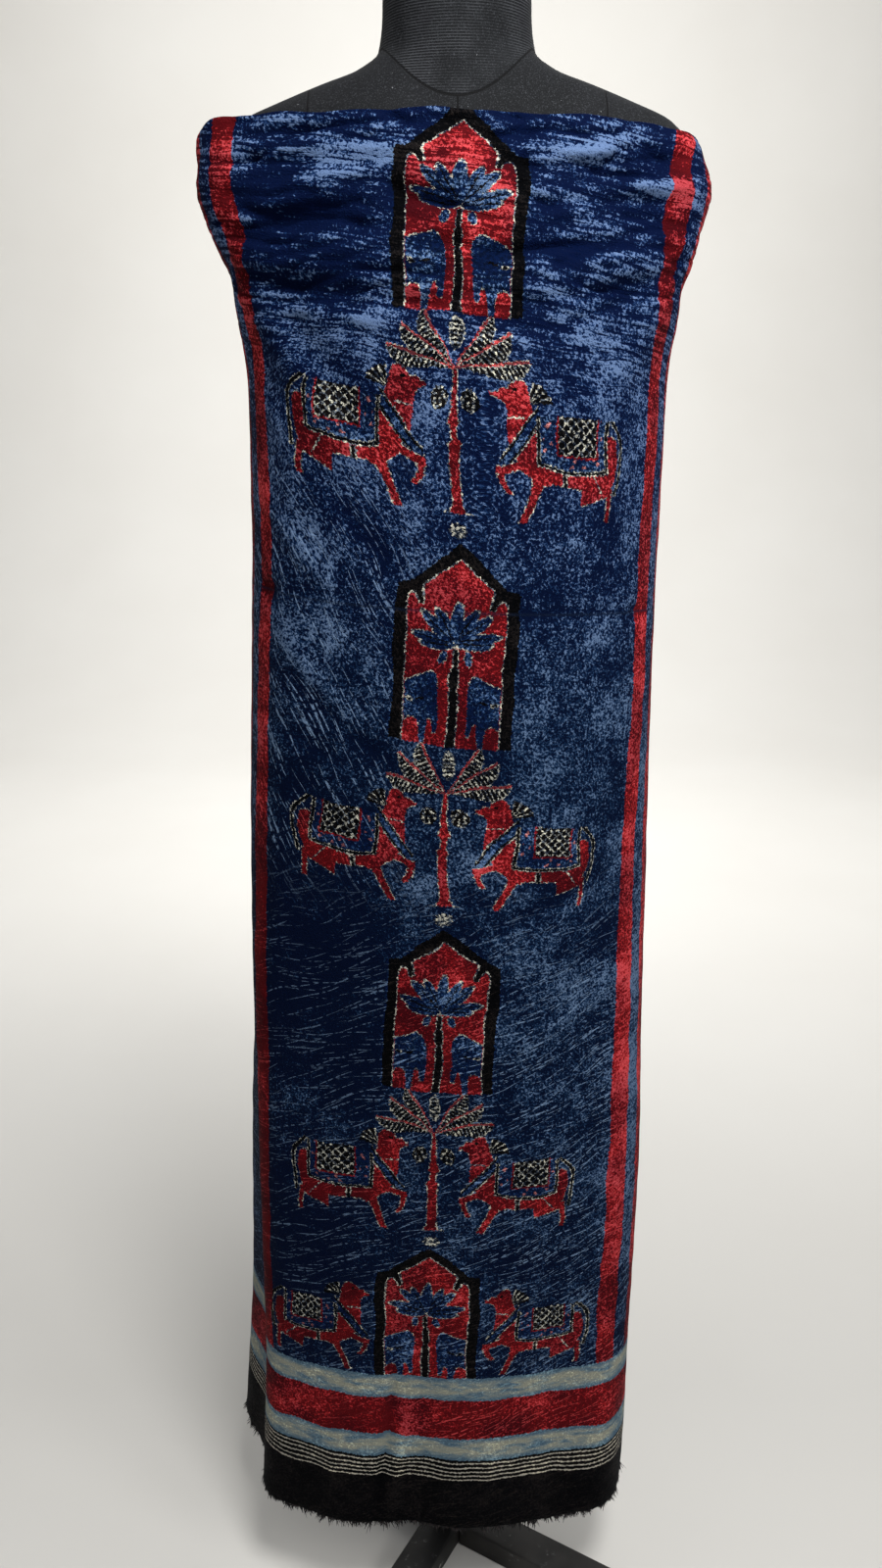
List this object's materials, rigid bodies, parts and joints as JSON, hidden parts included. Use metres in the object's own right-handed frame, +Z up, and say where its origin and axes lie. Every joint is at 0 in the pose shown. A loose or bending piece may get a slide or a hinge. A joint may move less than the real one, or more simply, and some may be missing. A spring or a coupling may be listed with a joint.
{
  "type": "printed velvet cloth hung on a dress form",
  "caption": "Length of block-printed velvet hung round a plain dress form, turned in at the top with a raw end below, on a pole and cross base.",
  "frame": {"origin": "on the floor under the pole, at the middle of the cross base's underside", "axes": "+Z up, the form's front and the printed face of the cloth look along -Y, +X is to the right as seen from the front"},
  "size_m": [0.4637, 0.3718, 1.6643],
  "materials": {
    "velvet": "crushed velvet with a printed pattern",
    "jersey": "matt knit cover",
    "black_metal": "black paint, satin",
    "bright_metal": "brushed tube",
    "board": "bare board",
    "grey_plastic": "moulded grey plastic"
  },
  "bodies": {
    "root": {"cloth": "velvet", "form_body": "jersey", "neck_cap": "black_metal", "form_plate": "board", "pole_flange": "black_metal", "pole": "bright_metal", "pole_socket": "black_metal", "base_long_bar": "black_metal", "base_short_bar_1": "black_metal", "base_short_bar_2": "black_metal", "base_plug_1": "grey_plastic", "base_plug_2": "grey_plastic", "base_plug_3": "grey_plastic", "base_plug_4": "grey_plastic"}
  },
  "joints": []
}
